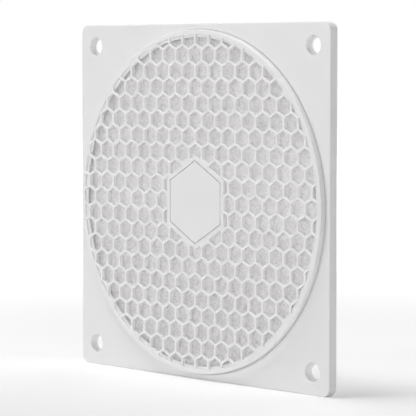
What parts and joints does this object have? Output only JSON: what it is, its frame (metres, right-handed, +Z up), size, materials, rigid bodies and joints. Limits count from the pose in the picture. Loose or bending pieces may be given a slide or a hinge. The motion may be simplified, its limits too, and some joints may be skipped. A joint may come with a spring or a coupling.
{
  "type": "fan dust filter",
  "caption": "Square white fan dust filter: honeycomb grille with a raised ring and plain centre panel, fine mesh behind it and corner screw holes.",
  "frame": {"origin": "middle of the filter's width, height and depth, on the fan's axis", "axes": "the filter stands upright as on an upright fan: +Y runs along the fan's axis from the front of the grille to the seat against the fan, +X is to the right seen from the front, +Z is up"},
  "size_m": [0.12, 0.0054, 0.12],
  "materials": {
    "white_plastic": "satin moulded white plastic",
    "woven_mesh": "fine woven nylon, pale grey"
  },
  "bodies": {
    "root": {"grille_frame": "white_plastic", "filter_mesh": "woven_mesh", "retaining_ring": "white_plastic"}
  },
  "joints": []
}
